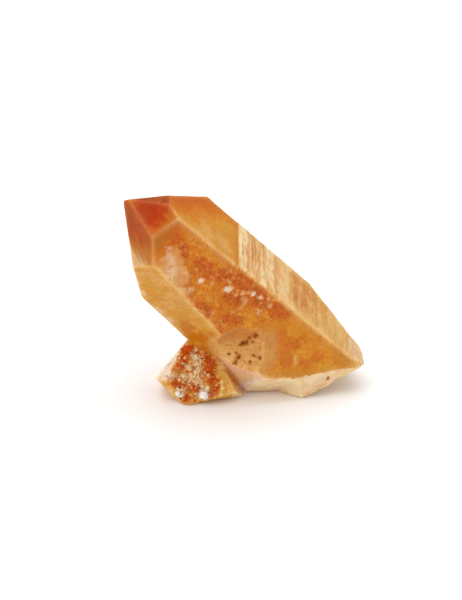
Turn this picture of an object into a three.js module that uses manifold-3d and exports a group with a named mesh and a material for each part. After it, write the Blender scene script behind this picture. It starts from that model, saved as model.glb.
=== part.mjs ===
// Hematoid quartz: a stout six-sided quartz point, stained orange by iron oxide, leaning on its
// broken base and on a short side crystal whose front is crusted with tiny points (druse).
// Millimetres, +Z up, the druse side and the front prism face towards -Y.
import * as THREE from 'three';
import { mergeVertices } from 'three/addons/utils/BufferGeometryUtils.js';
import Module from 'manifold-3d';

const wasm = await Module();
wasm.setup();

// ---------------------------------------------------------------- driving dimensions
// A crystal is a list of flat faces. Each face is given by its azimuth about the crystal's long
// axis, its inclination from that axis (90 is a prism face) and its distance from the centre.

const POINT = {
  centre: [0, 0, 16.4],
  heading: 193.7, elevation: 44.9, roll: 80.5,
  faces: [
    { name: 'prism front', azimuth: -5, inclination: 91, distance: 10.1 },
    { name: 'prism upper right', azimuth: 62, inclination: 90, distance: 8.65 },
    { name: 'prism lower left', azimuth: -61, inclination: 86, distance: 11.5 },
    { name: 'prism upper back', azimuth: 120, inclination: 91.5, distance: 8.7 },
    { name: 'prism lower back', azimuth: -120, inclination: 88.5, distance: 10.3 },
    { name: 'prism back', azimuth: 180, inclination: 90, distance: 9 },
    { name: 'tip front', azimuth: 5, inclination: 55.5, distance: 24.1 },
    { name: 'tip upper right', azimuth: 60, inclination: 46.5, distance: 25.9 },
    { name: 'tip lower left', azimuth: -58.5, inclination: 54, distance: 22.1 },
    { name: 'tip upper back', azimuth: 120, inclination: 52.5, distance: 18.6 },
    { name: 'tip lower back', azimuth: -120, inclination: 55.5, distance: 17.4 },
    { name: 'tip back', azimuth: 180, inclination: 52, distance: 19 },
    { name: 'break right side', azimuth: 101, inclination: 107.3, distance: 11.46 },
    { name: 'break right corner', azimuth: 85.8, inclination: 137.3, distance: 20.28 },
    { name: 'break front wall', azimuth: -14.5, inclination: 102.1, distance: 12.97 },
    { name: 'break underside', azimuth: -68.9, inclination: 157.6, distance: 20.01 },
  ],
};

// The notch under the front left of the base lies beyond both of these planes.
const NOTCH_FACES = [
  { name: 'notch roof', azimuth: -51.7, inclination: 117.8, distance: 15.05 },
  { name: 'notch right wall', azimuth: -57.9, inclination: 75.1, distance: 5.4 },
];

const STUB = {
  centre: [-9.34, -3.92, 3.92],
  heading: -93, elevation: 19.9, roll: 90,
  faces: [
    { name: 'front', azimuth: 0, inclination: 0, distance: 4 },
    { name: 'side upper left', azimuth: 141.1, inclination: 96.8, distance: 4.2 },
    { name: 'side lower left', azimuth: -132.9, inclination: 90, distance: 5.24 },
    { name: 'side right', azimuth: 27, inclination: 80.2, distance: 6.16 },
    { name: 'side top', azimuth: 75.5, inclination: 88.6, distance: 5.75 },
    { name: 'underside', azimuth: -75.8, inclination: 71.9, distance: 6.08 },
    { name: 'back', azimuth: 102.3, inclination: 135.4, distance: 6.99 },
    { name: 'rim upper left', azimuth: 141.1, inclination: 38, distance: 5.46 },
    { name: 'rim lower left', azimuth: -131.6, inclination: 35, distance: 5.87 },
    { name: 'rim right', azimuth: 28.1, inclination: 30, distance: 5.82 },
  ],
};

// Growth ledges across prism faces: a face is lower from its ledge to the tip.
const LEDGES = [
  { face: 'prism upper right', at: 10.6, height: 0.22 },
  { face: 'prism back', at: 4.5, height: 0.3 },
  { face: 'prism lower back', at: -1.5, height: 0.25 },
];

// Growth striations: shallow V grooves square to the long axis. 'from' and 'to' run along it.
const STRIATIONS = [
  { face: 'prism upper right', from: 9.9, to: -2.8, pitch: 0.92, depth: 0.17 },
  { face: 'prism upper back', from: 12, to: -6, pitch: 1.9, depth: 0.12 },
  { face: 'prism back', from: 10, to: -8, pitch: 2.4, depth: 0.1 },
];
const GROOVE_WIDTH_RATIO = 2.2;
const GROOVE_LENGTH = 40;

// Conchoidal scars: round dishes with faint ripples. 'at' is along the long axis, towards the
// azimuth 0 side and towards the azimuth 90 side, all from the centre of the point. The floor of
// a dish is flatter as its power grows, and it is wider across the long axis by its stretch.
const SCARS = [
  { name: 'front edge scar', at: [-1.4, 9.41, -8.08], azimuth: -33, inclination: 88.5,
    radius: 5.15, depth: 2.5, ripple: 0.05, power: 4, stretch: 1.6 },
  { name: 'base edge chip', at: [-20, 9.25, -0.7], azimuth: -29, inclination: 132,
    radius: 1.7, depth: 0.55, ripple: 0.02 },
  { name: 'right side scar', at: [-13.5, -3.5, 7.2], azimuth: 101, inclination: 107.3,
    radius: 4, depth: 0.45, ripple: 0.04 },
  { name: 'right side lower scar', at: [-20.5, -1.7, 5.4], azimuth: 101, inclination: 107.3,
    radius: 3, depth: 0.4, ripple: 0.03 },
  { name: 'underside scar', at: [-21.1, 2.9, 0.5], azimuth: -68.9, inclination: 157.6,
    radius: 4.5, depth: 0.5, ripple: 0.04 },
  { name: 'back scar', at: [-11.5, -9.2, -2.5], azimuth: 180, inclination: 90,
    radius: 3.6, depth: 0.5, ripple: 0.04 },
];
const SCAR_SEGMENTS = 40;
const SCAR_RINGS = 9;

// Druse on the stub's front: small six-sided points, fused into it.
const DRUSE = {
  pitch: 1.12, jitter: 0.36, margin: 0.3, sink: 0.45,
  radius: [0.36, 0.62], prism: [0.15, 0.45], tilt: 38, seed: 7,
};

const BODY_COLOR = 0xc8782e;
const CUTTER_SIZE = 90;

// ---------------------------------------------------------------- frames and planes

/** Right-handed frame of a crystal: long axis, azimuth 0 direction, azimuth 90 direction. */
function crystalFrame({ centre, heading, elevation, roll }) {
  const h = THREE.MathUtils.degToRad(heading);
  const e = THREE.MathUtils.degToRad(elevation);
  const r = THREE.MathUtils.degToRad(roll);
  const axis = new THREE.Vector3(Math.cos(h) * Math.cos(e), Math.sin(h) * Math.cos(e), Math.sin(e));
  const upright = new THREE.Vector3(0, 0, 1).addScaledVector(axis, -axis.z).normalize();
  const sideways = new THREE.Vector3().crossVectors(upright, axis);
  const zero = upright.multiplyScalar(Math.cos(r)).addScaledVector(sideways, Math.sin(r));
  const ninety = new THREE.Vector3().crossVectors(axis, zero);
  return { centre: new THREE.Vector3(...centre), axis, zero, ninety };
}

function faceNormal(frame, { azimuth, inclination }) {
  const a = THREE.MathUtils.degToRad(azimuth);
  const i = THREE.MathUtils.degToRad(inclination);
  return new THREE.Vector3()
    .addScaledVector(frame.axis, Math.cos(i))
    .addScaledVector(frame.zero, Math.sin(i) * Math.cos(a))
    .addScaledVector(frame.ninety, Math.sin(i) * Math.sin(a));
}

function facePlane(frame, face) {
  const normal = faceNormal(frame, face);
  return new THREE.Plane(normal, -face.distance - normal.dot(frame.centre));
}

function pointIn(frame, [along, front, side]) {
  return frame.centre.clone()
    .addScaledVector(frame.axis, along)
    .addScaledVector(frame.zero, front)
    .addScaledVector(frame.ninety, side);
}

// ---------------------------------------------------------------- solids

/** A manifold solid from a closed three.js geometry. */
function toSolid(geometry) {
  const bare = geometry.clone();
  bare.deleteAttribute('normal');
  bare.deleteAttribute('uv');
  const merged = mergeVertices(bare, 1e-5);
  return new wasm.Manifold(new wasm.Mesh({
    numProp: 3,
    vertProperties: new Float32Array(merged.attributes.position.array),
    triVerts: new Uint32Array(merged.index.array),
  }));
}

/** The point where three planes meet, or null where two of them are parallel. */
function meet(p, q, r) {
  const qr = new THREE.Vector3().crossVectors(q.normal, r.normal);
  const det = p.normal.dot(qr);
  if (Math.abs(det) < 1e-6) return null;
  return qr.multiplyScalar(-p.constant)
    .addScaledVector(new THREE.Vector3().crossVectors(r.normal, p.normal), -q.constant)
    .addScaledVector(new THREE.Vector3().crossVectors(p.normal, q.normal), -r.constant)
    .divideScalar(det);
}

/** The corners of the convex solid inside all the planes. */
function cornersInside(planes) {
  const corners = [];
  for (let i = 0; i < planes.length; i++) {
    for (let j = i + 1; j < planes.length; j++) {
      for (let k = j + 1; k < planes.length; k++) {
        const corner = meet(planes[i], planes[j], planes[k]);
        if (!corner || planes.some((plane) => plane.distanceToPoint(corner) > 1e-4)) continue;
        if (!corners.some((other) => other.distanceTo(corner) < 1e-3)) corners.push(corner);
      }
    }
  }
  return corners;
}

/** Convex solid bounded by planes whose normals point outwards. */
function solidInside(planes) {
  const corners = cornersInside(planes);
  const positions = [];
  for (const plane of planes) {
    const ring = corners.filter((corner) => Math.abs(plane.distanceToPoint(corner)) < 2e-3);
    if (ring.length < 3) continue;
    const middle = ring.reduce((sum, p) => sum.add(p), new THREE.Vector3()).divideScalar(ring.length);
    const u = ring[0].clone().sub(middle).normalize();
    const v = new THREE.Vector3().crossVectors(plane.normal, u);
    const angle = (p) => Math.atan2(p.clone().sub(middle).dot(v), p.clone().sub(middle).dot(u));
    ring.sort((a, b) => angle(a) - angle(b));
    for (let i = 1; i < ring.length - 1; i++) {
      positions.push(...ring[0].toArray(), ...ring[i].toArray(), ...ring[i + 1].toArray());
    }
  }
  const geometry = new THREE.BufferGeometry();
  geometry.setAttribute('position', new THREE.Float32BufferAttribute(positions, 3));
  return toSolid(geometry);
}

/** A large block that lies wholly beyond a plane. */
function solidBeyond(plane) {
  const block = new THREE.BoxGeometry(CUTTER_SIZE, CUTTER_SIZE, CUTTER_SIZE);
  block.translate(0, 0, CUTTER_SIZE / 2);
  const turn = new THREE.Quaternion().setFromUnitVectors(new THREE.Vector3(0, 0, 1), plane.normal);
  const foot = plane.coplanarPoint(new THREE.Vector3());
  block.applyMatrix4(new THREE.Matrix4().compose(foot, turn, new THREE.Vector3(1, 1, 1)));
  return toSolid(block);
}

function namedFace(crystal, name) {
  return crystal.faces.find((face) => face.name === name);
}

// ---------------------------------------------------------------- details of the point

/** Places a cutter over a prism face: its x runs to the tip, its y out of the face. */
function setOnFace(geometry, frame, name, along, above) {
  const face = namedFace(POINT, name);
  const normal = faceNormal(frame, face);
  const across = new THREE.Vector3().crossVectors(frame.axis, normal).normalize();
  const toTip = new THREE.Vector3().crossVectors(normal, across);
  const middle = frame.centre.clone()
    .addScaledVector(toTip, along)
    .addScaledVector(normal, face.distance + above);
  geometry.applyMatrix4(new THREE.Matrix4().makeBasis(toTip, normal, across).setPosition(middle));
  return toSolid(geometry);
}

/** The slab removed above a face between its ledge and the tip. */
function ledgeCut(frame, { face, at, height }) {
  const slab = new THREE.BoxGeometry(CUTTER_SIZE, CUTTER_SIZE, CUTTER_SIZE);
  return setOnFace(slab, frame, face, at + CUTTER_SIZE / 2, CUTTER_SIZE / 2 - height);
}

/** One V groove across a prism face, 'at' along the axis. */
function groove(frame, face, at, depth) {
  const reach = depth * 3;
  const wedge = new THREE.CylinderGeometry(reach, reach, GROOVE_LENGTH, 3);
  wedge.rotateX(Math.PI / 2);
  wedge.scale(GROOVE_WIDTH_RATIO, 1, 1);
  return setOnFace(wedge, frame, face, at, reach - depth);
}

/** All grooves of one striated face, at slightly uneven places and depths. */
function grooves(frame, { face, from, to, pitch, depth }) {
  const count = Math.floor((from - to) / pitch) + 1;
  return Array.from({ length: count }, (_, i) => {
    const at = from - i * pitch + 0.3 * pitch * Math.sin(2.4 * i);
    return groove(frame, face, at, depth * (0.75 + 0.5 * Math.abs(Math.sin(1.7 * i))));
  });
}

/** The cutter of one conchoidal scar: a shallow rippled bowl that opens outwards. */
function scarCut(frame, scar) {
  const { at, azimuth, inclination, radius, depth, ripple, power = 2, stretch = 1 } = scar;
  const reach = radius * 1.9;
  const profile = [new THREE.Vector2(0, 0)];
  for (let i = 1; i <= SCAR_RINGS; i++) {
    const r = (reach * i) / SCAR_RINGS;
    profile.push(new THREE.Vector2(r, depth * (r / radius) ** power + ripple * (i % 2)));
  }
  const rim = profile[profile.length - 1];
  profile.push(new THREE.Vector2(rim.x, rim.y + radius), new THREE.Vector2(0, rim.y + radius));
  const bowl = new THREE.LatheGeometry(profile, SCAR_SEGMENTS);
  const outward = faceNormal(frame, { azimuth, inclination });
  const across = new THREE.Vector3().crossVectors(frame.axis, outward).normalize();
  const toTip = new THREE.Vector3().crossVectors(outward, across);
  const foot = pointIn(frame, at).addScaledVector(outward, -depth);
  bowl.scale(1, 1, stretch);
  bowl.applyMatrix4(new THREE.Matrix4().makeBasis(toTip, outward, across).setPosition(foot));
  return toSolid(bowl);
}

function pointSolid(frame) {
  let solid = solidInside(POINT.faces.map((face) => facePlane(frame, face)));
  for (const ledge of LEDGES) solid = solid.subtract(ledgeCut(frame, ledge));
  for (const striation of STRIATIONS) {
    for (const cut of grooves(frame, striation)) solid = solid.subtract(cut);
  }
  for (const scar of SCARS) solid = solid.subtract(scarCut(frame, scar));
  const [roof, wall] = NOTCH_FACES.map((face) => solidBeyond(facePlane(frame, face)));
  return solid.subtract(roof.intersect(wall));
}

// ---------------------------------------------------------------- the stub and its druse

/** Repeatable random numbers from 0 to 1. */
function randomSource(seed) {
  let state = seed;
  return () => {
    state = (state * 1664525 + 1013904223) % 4294967296;
    return state / 4294967296;
  };
}

/** One small six-sided point standing along 'direction', its foot sunk below 'place'. */
function drusePoint(place, direction, radius, prism, spin) {
  const profile = [
    new THREE.Vector2(0, -DRUSE.sink), new THREE.Vector2(radius, -DRUSE.sink),
    new THREE.Vector2(radius, prism), new THREE.Vector2(0, prism + radius * 1.15),
  ];
  const crystal = new THREE.LatheGeometry(profile, 6);
  crystal.rotateY(spin);
  const turn = new THREE.Quaternion().setFromUnitVectors(new THREE.Vector3(0, 1, 0), direction);
  crystal.applyMatrix4(new THREE.Matrix4().compose(place, turn, new THREE.Vector3(1, 1, 1)));
  return toSolid(crystal);
}

/** Druse points over the stub's front, inside its rims and clear of the point's prism face. */
function druse(stubFrame, pointFrame) {
  const random = randomSource(DRUSE.seed);
  const pick = ([low, high]) => low + (high - low) * random();
  const front = namedFace(STUB, 'front').distance;
  const limits = STUB.faces.filter((face) => face.name !== 'front')
    .map((face) => facePlane(stubFrame, face));
  const neighbour = facePlane(pointFrame, namedFace(POINT, 'prism lower left'));
  const points = [];
  for (let u = -8; u <= 8; u += DRUSE.pitch) {
    for (let v = -8; v <= 8; v += DRUSE.pitch) {
      const place = pointIn(stubFrame, [
        front, u + DRUSE.jitter * (random() * 2 - 1), v + DRUSE.jitter * (random() * 2 - 1),
      ]);
      const lean = THREE.MathUtils.degToRad(DRUSE.tilt * random());
      const around = 2 * Math.PI * random();
      const direction = stubFrame.axis.clone().multiplyScalar(Math.cos(lean))
        .addScaledVector(stubFrame.zero, Math.sin(lean) * Math.cos(around))
        .addScaledVector(stubFrame.ninety, Math.sin(lean) * Math.sin(around));
      const crystal = [pick(DRUSE.radius), pick(DRUSE.prism), random() * Math.PI];
      const onFront = limits.every((plane) => plane.distanceToPoint(place) < -DRUSE.margin);
      const clear = neighbour.distanceToPoint(place) > -DRUSE.margin;
      if (onFront && clear) points.push(drusePoint(place, direction, ...crystal));
    }
  }
  return points;
}

function stubSolid(stubFrame, pointFrame) {
  let solid = solidInside(STUB.faces.map((face) => facePlane(stubFrame, face)));
  for (const crystal of druse(stubFrame, pointFrame)) solid = solid.add(crystal);
  return solid;
}

// ---------------------------------------------------------------- the whole piece

const pointFrame = crystalFrame(POINT);
const stubFrame = crystalFrame(STUB);
const underGround = solidBeyond(new THREE.Plane(new THREE.Vector3(0, 0, -1), 0));
const whole = pointSolid(pointFrame).add(stubSolid(stubFrame, pointFrame)).subtract(underGround);

const wholeMesh = whole.getMesh();
const geometry = new THREE.BufferGeometry();
geometry.setAttribute('position', new THREE.BufferAttribute(wholeMesh.vertProperties, 3));
geometry.setIndex(new THREE.BufferAttribute(wholeMesh.triVerts, 1));
geometry.computeBoundingBox();
const box = geometry.boundingBox;
geometry.translate(-(box.min.x + box.max.x) / 2, -(box.min.y + box.max.y) / 2, -box.min.z);
geometry.computeVertexNormals();

const quartz = new THREE.MeshStandardMaterial({ color: BODY_COLOR, roughness: 0.25, metalness: 0 });
const hematoidQuartz = new THREE.Mesh(geometry, quartz);
hematoidQuartz.name = 'hematoid_quartz';

const model = new THREE.Group();
model.add(hematoidQuartz);

export default model;
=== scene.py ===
import math
import random

import bpy
import numpy as np
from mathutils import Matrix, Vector, noise
from mathutils.bvhtree import BVHTree


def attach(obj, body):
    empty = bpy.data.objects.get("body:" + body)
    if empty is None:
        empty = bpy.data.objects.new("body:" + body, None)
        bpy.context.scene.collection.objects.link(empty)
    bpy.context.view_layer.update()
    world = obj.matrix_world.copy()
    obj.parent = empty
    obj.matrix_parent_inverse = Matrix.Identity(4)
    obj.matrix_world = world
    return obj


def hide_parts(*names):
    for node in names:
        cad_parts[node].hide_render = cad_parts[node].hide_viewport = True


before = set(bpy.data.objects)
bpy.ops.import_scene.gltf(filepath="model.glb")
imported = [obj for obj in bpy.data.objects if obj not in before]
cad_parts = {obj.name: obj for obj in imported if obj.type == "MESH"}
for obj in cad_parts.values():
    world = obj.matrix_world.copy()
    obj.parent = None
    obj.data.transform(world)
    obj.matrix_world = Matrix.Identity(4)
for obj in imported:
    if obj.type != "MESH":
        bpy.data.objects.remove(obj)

# Hematoid quartz point on a plain pale floor. The stone's lengths are millimetres until its mesh
# is finished, the studio's are metres, and linear() takes sRGB values from 0 to 255.
MM = 0.001
CAD_NODE = "hematoid_quartz"

# --- the crystal's own directions
# The point and the side crystal (the stub): a place on the long axis, and the heading, elevation
# and roll of that axis.
POINT_CENTRE = np.array([0.083, 0.924, 16.4])
POINT_TURN = (193.7, 44.9, 80.5)
STUB_CENTRE = np.array([-9.257, -2.996, 3.92])
STUB_TURN = (-93.0, 19.9, 90.0)

# Each flat face: azimuth about the long axis, inclination from it, distance from the centre.
POINT_FACES = {
    "prism front": (-5, 91, 10.1),
    "prism upper right": (62, 90, 8.65),
    "prism lower left": (-61, 86, 11.5),
    "prism upper back": (120, 91.5, 8.7),
    "prism lower back": (-120, 88.5, 10.3),
    "prism back": (180, 90, 9),
    "tip front": (5, 55.5, 24.1),
    "tip upper right": (60, 46.5, 25.9),
    "tip lower left": (-58.5, 54, 22.1),
    "tip upper back": (120, 52.5, 18.6),
    "tip lower back": (-120, 55.5, 17.4),
    "tip back": (180, 52, 19),
    "break right side": (101, 107.3, 11.46),
    "break right corner": (85.8, 137.3, 20.28),
    "break front wall": (-14.5, 102.1, 12.97),
    "break underside": (-68.9, 157.6, 20.01),
    "notch roof": (-51.7, 117.8, 15.05),
    "notch right wall": (-57.9, 75.1, 5.4),
}
LEDGE = 10.6  # place of the upper right face's growth ledge, along the long axis
LEDGE_WALL = (0.7, 1)  # its wall is this close to that place, and this close to the face's plane
STEP_PLACE = -2.4  # of a faint step further down the same face
STAIN_LINE = (-15.1, -1.0)  # lower end of the front wall's gold part: along, and along per across
UPPER_RIGHT = "prism upper right"  # the only face with a growth ledge and streaks in the photo
BACK_FACES = ("prism upper back", "prism lower back", "prism back")
BROKEN_FACES = [name for name in POINT_FACES if name.startswith(("break", "notch"))]


def crystal_axes(turn):
    """Long axis, azimuth 0 direction and azimuth 90 direction of a crystal."""
    heading, elevation, roll = (math.radians(a) for a in turn)
    axis = np.array([math.cos(heading) * math.cos(elevation),
                     math.sin(heading) * math.cos(elevation), math.sin(elevation)])
    upright = np.array([0, 0, 1]) - axis * axis[2]
    upright = upright / np.linalg.norm(upright)
    zero = upright * math.cos(roll) + np.cross(upright, axis) * math.sin(roll)
    return axis, zero, np.cross(axis, zero)


POINT_AXES = crystal_axes(POINT_TURN)
STUB_AXES = crystal_axes(STUB_TURN)


def turned_direction(azimuth, inclination):
    """A direction given by its azimuth about the point's long axis and its angle from it."""
    a, i = math.radians(azimuth), math.radians(inclination)
    axis, zero, ninety = POINT_AXES
    return axis * math.cos(i) + (zero * math.cos(a) + ninety * math.sin(a)) * math.sin(i)


def face_normal(name):
    """The direction that one of the point's faces looks in."""
    azimuth, inclination, _ = POINT_FACES[name]
    return turned_direction(azimuth, inclination)


def face_across(name):
    """The direction in a face that is square to the long axis."""
    across = np.cross(POINT_AXES[0], face_normal(name))
    return across / np.linalg.norm(across)


# --- small helpers
def linear(*srgb):
    """Linear colour of an sRGB one."""
    v = np.array(srgb) / 255
    return np.where(v <= 0.04045, v / 12.92, ((v + 0.055) / 1.055) ** 2.4)


def ramp(x, low, high):
    """0 below low, 1 above high, smooth between."""
    t = np.clip((x - low) / (high - low), 0, 1)
    return t * t * (3 - 2 * t)


def fall(x, low, high):
    """1 below low, 0 above high, smooth between."""
    return 1 - ramp(x, low, high)


def lay(under, over, amount):
    """Mixes a colour, or a colour per point, over another."""
    amount = np.asarray(amount)[..., None]
    return under * (1 - amount) + over * amount


def layered(tint, *layers):
    """Lays colours over one another in turn, each by its own amount."""
    for over, amount in layers:
        tint = lay(tint, over, amount)
    return tint


def noise_at(points, scale, seed, octaves=3):
    """Fractal noise between about -1 and 1 at each point."""
    shift = Vector((seed * 17.3, seed * 5.1, seed * 9.7))
    values = [noise.fractal(Vector(p) * scale + shift, 1.0, 2.0, octaves) for p in points]
    return np.array(values)


def drawn_noise(long_way, short_way, long_scale, short_scale, seed):
    """Noise drawn out along one of two directions."""
    pairs = zip(long_way * long_scale, short_way * short_scale)
    return np.array([noise.noise(Vector((a, b, seed))) for a, b in pairs])


def spread(values, edges, rounds):
    """Averages a value per point, or a vector per point, with its neighbours."""
    a, b = edges[:, 0], edges[:, 1]
    columns = values.reshape(len(values), -1).astype(float)
    count = np.bincount(a, minlength=len(values)) + np.bincount(b, minlength=len(values))
    for _ in range(rounds):
        total = columns.copy()
        for c in range(columns.shape[1]):
            total[:, c] += np.bincount(a, columns[b, c], len(values))
            total[:, c] += np.bincount(b, columns[a, c], len(values))
        columns = total / (count + 1)[:, None]
    return columns.reshape(values.shape)


def inside_outline(x, y, outline):
    """True if a place is inside a closed outline."""
    inside = False
    for (xa, ya), (xb, yb) in zip(outline, outline[1:] + outline[:1]):
        if (ya > y) != (yb > y) and x < xa + (y - ya) / (yb - ya) * (xb - xa):
            inside = not inside
    return inside


def mesh_arrays(mesh):
    """Corners, triangles or quads, and edges of a mesh as arrays."""
    places = np.empty(len(mesh.vertices) * 3)
    mesh.vertices.foreach_get("co", places)
    edges = np.empty(len(mesh.edges) * 2, dtype=int)
    mesh.edges.foreach_get("vertices", edges)
    faces = [tuple(p.vertices) for p in mesh.polygons]
    return places.reshape(-1, 3), faces, edges.reshape(-1, 2)


def add_object(name, data):
    """Puts a mesh, light or camera into the scene."""
    made = bpy.data.objects.new(name, data)
    bpy.context.scene.collection.objects.link(made)
    return made


# --- the skin's fine mesh
VOXEL = 0.25
SHARP_TURN = 0.94  # cosine between neighbouring normals, below which an edge is sharp
SHARP_REACH = 0.05  # share of sharp neighbours that makes a point part of the edge
# How far the edges, the growth lines, the ledge and the scoop's rim are worn: share and rounds.
SHARP_EASE = (1, 3)
STREAK_EASE = (0.8, 5)
LEDGE_EASE = (0.8, 5)
SCOOP_EASE = (0.9, 16)
EDGE_ROUNDS = 6  # how far the surface is blurred to find its edges
EDGE_SCALE = 0.075  # height above the blurred surface that counts as a full edge
HALO_ROUNDS = 24  # how far the fainter painted highlight next to an edge reaches
HALO_GAIN = 3


def cad_surface():
    """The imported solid's corners and faces in millimetres."""
    places, faces, _ = mesh_arrays(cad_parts[CAD_NODE].data)
    return places / MM, faces


def remeshed(places, faces):
    """An even mesh of small quads over the solid."""
    mesh = bpy.data.meshes.new("rough_solid")
    mesh.from_pydata(places.tolist(), [], faces)
    solid = add_object("rough_solid", mesh)
    cutter = solid.modifiers.new("even", "REMESH")
    cutter.mode = "VOXEL"
    cutter.voxel_size = VOXEL
    graph = bpy.context.evaluated_depsgraph_get()
    fine_mesh = bpy.data.meshes.new_from_object(solid.evaluated_get(graph))
    arrays = mesh_arrays(fine_mesh)
    bpy.data.objects.remove(solid)
    bpy.data.meshes.remove(mesh)
    bpy.data.meshes.remove(fine_mesh)
    return arrays


def pulled_to(tree, places):
    """Each point's nearest place on the solid, and the solid's normal there."""
    near = [tree.find_nearest(Vector(p)) for p in places]
    return np.array([n[0] for n in near]), np.array([n[1] for n in near])


def point_normals(places, faces):
    """Normal of the fine mesh at each point, from the quads around it."""
    quads = np.array([f for f in faces if len(f) == 4])
    across = np.cross(places[quads[:, 2]] - places[quads[:, 0]],
                      places[quads[:, 3]] - places[quads[:, 1]])
    total = np.zeros_like(places)
    for corner in range(4):
        for c in range(3):
            total[:, c] += np.bincount(quads[:, corner], across[:, c], len(places))
    return total / np.maximum(np.linalg.norm(total, axis=1), 1e-9)[:, None]


def eased(places, edges, where, ease):
    """Smooths the points of a place towards their neighbours, by a share, for some rounds."""
    share, rounds = ease
    for _ in range(rounds):
        places = places + (spread(places, edges, 1) - places) * (share * where)[:, None]
    return places


def worn_edges(places, normals, edges):
    """Rounds the sharp edges only: points whose neighbours face another way."""
    turned = np.einsum("ij,ij->i", normals[edges[:, 0]], normals[edges[:, 1]]) < SHARP_TURN
    sharp = np.zeros(len(places))
    sharp[edges[turned].ravel()] = 1
    sharp = (spread(sharp, edges, 1) > SHARP_REACH).astype(float)
    return eased(places, edges, sharp, SHARP_EASE)


# --- which face a point is on
FACE_DEPTH = 0.42  # a point this close to a face's plane is on it
FACE_ALIGNED = 0.93  # and its normal agrees this well with the face's
GROOVED_ALIGNED = 0.78  # less on the upper right face, because of its growth lines


def face_place(name, places):
    """Place along the long axis, place across the face, and height over its plane."""
    rel = places - POINT_CENTRE
    height = rel @ face_normal(name) - POINT_FACES[name][2]
    return rel @ POINT_AXES[0], rel @ face_across(name), height


def on_face(name, places, facing):
    """True for each point that lies on a face."""
    _, _, height = face_place(name, places)
    wanted = GROOVED_ALIGNED if name == UPPER_RIGHT else FACE_ALIGNED
    return (np.abs(height) < FACE_DEPTH) & (facing @ face_normal(name) > wanted)


# The scoop broken out of the lower front edge: its middle (along, azimuth 0, azimuth 90) on
# that edge, the direction it faces, and the height of its bed with how far it strays from that.
SCOOP_MIDDLE = (-1.4, 9.41, -8.08)
SCOOP_TURN = (-33, 88.5)
SCOOP_RADIUS = 5.6
SCOOP_BED = (-1.2, 1.9)
# The stub's reach from its long axis, its hindmost place on that axis, and its top above the floor.
STUB_REACH = 8.2
STUB_BACK = -1.5
STUB_TOP = 12.5
# Outline of the crusted part of the stub's front, as (sideways, up) from its middle.
CRUST_OUTLINE = [
    (-4, -1), (-3.7, 0.7), (-2.5, 3.2), (-1.8, 4.8), (-0.6, 5.4), (2.6, 4), (4.3, 2.4), (4.6, 0.2),
    (5, -2.4), (4.6, -4), (2.1, -4.7), (-1.3, -5.4), (-3, -3.4)]
# Where the crust is cream, white and rusty, as (sideways, up, radius).
CREAM_CRUST = [
    (0.7, 3.3, 1.1), (1.2, 2.4, 1), (0.9, 1.1, 1.1), (0.9, -0.3, 1.1), (-0.3, -1.1, 1),
    (-1.6, -0.7, 0.9), (1.5, -1.6, 0.9), (2.4, -2.6, 0.9), (-2.1, -3.3, 1.2), (-3.4, -0.4, 0.8),
    (-0.8, 1.4, 0.8)]
WHITE_CRUST = [(2.2, -3.6, 1.1), (-2.4, -3.7, 0.8)]
RUSTY_CRUST = [
    (-1.1, 4.3, 1.4), (-0.4, 5.2, 1), (-1.6, 2, 1.4), (2.7, 2.6, 1.2), (3.2, 0.8, 1.3),
    (3.7, -0.9, 1.2), (4.4, -2.4, 1.1), (-2.6, -1.8, 1.2), (-1.6, -2.4, 1), (0.6, -2.6, 0.9),
    (3.4, 2, 1.2), (-1, -4.3, 0.9), (3.6, -3.4, 0.8)]


def scoop_place(places):
    """Place towards the tip, place across and height, from the middle of the scoop."""
    rel = places - POINT_CENTRE - np.array(SCOOP_MIDDLE) @ np.array(POINT_AXES)
    outward = turned_direction(*SCOOP_TURN)
    across = np.cross(POINT_AXES[0], outward)
    across = across / np.linalg.norm(across)
    return rel @ np.cross(outward, across), rel @ across, rel @ outward


def stub_place(places):
    """Sideways, upward and outward place on the stub, from its middle."""
    rel = places - STUB_CENTRE
    return rel @ STUB_AXES[1], rel @ STUB_AXES[2], rel @ STUB_AXES[0]


# --- colours and marks
DEEP_RED = linear(194, 54, 0)
TIP_ORANGE = linear(204, 100, 0)
TIP_TAN = linear(198, 120, 26)
TIP_BROWN = linear(184, 72, 0)
GOLD = linear(226, 142, 6)
HONEY = linear(222, 160, 34)
LOW_GOLD = linear(238, 170, 44)
TAN = linear(232, 180, 88)
PALE_TAN = linear(250, 206, 128)
PALE_GOLD = linear(244, 190, 96)
COMBED = linear(252, 212, 142)
STREAK_BROWN = linear(206, 128, 46)
CREAM = linear(255, 234, 178)
VEIL = linear(246, 214, 152)
RUST = linear(208, 92, 0)
BURNT = linear(96, 28, 0)
DEEP_RUST = linear(150, 48, 0)
MILK = linear(255, 240, 214)
PEACH = linear(255, 206, 146)
AMBER = linear(206, 118, 8)
BREAK_TAN = linear(214, 168, 102)
BREAK_BROWN = linear(180, 98, 32)
PINK_TAN = linear(250, 210, 162)
BAND_PINK = linear(252, 226, 184)
WHITE_STONE = linear(255, 248, 236)
CRUST_HONEY = linear(244, 168, 78)
CRUST_CREAM = linear(255, 226, 176)
CRUST_RUST = linear(218, 86, 4)
CRUST_DARK = linear(140, 44, 0)


def blots(s, t, listed, wobble):
    """How strongly each point is inside any of the listed round marks (s, t, radius)."""
    most = np.zeros(len(s))
    for s0, t0, radius in listed:
        away = np.hypot(s - s0, t - t0) / radius + wobble
        most = np.maximum(most, fall(away, 0.55, 1.15))
    return most


def crust_tint(u, v, wobble):
    """The crust's colour at places on the stub's front."""
    return layered(
        CRUST_HONEY,
        (CRUST_RUST, 0.95 * blots(u, v, RUSTY_CRUST, wobble * 0.5)),
        (CRUST_CREAM, 0.9 * blots(u, v, CREAM_CRUST, wobble * 0.5)),
        (WHITE_STONE, blots(u, v, WHITE_CRUST, wobble * 0.3)))


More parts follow.
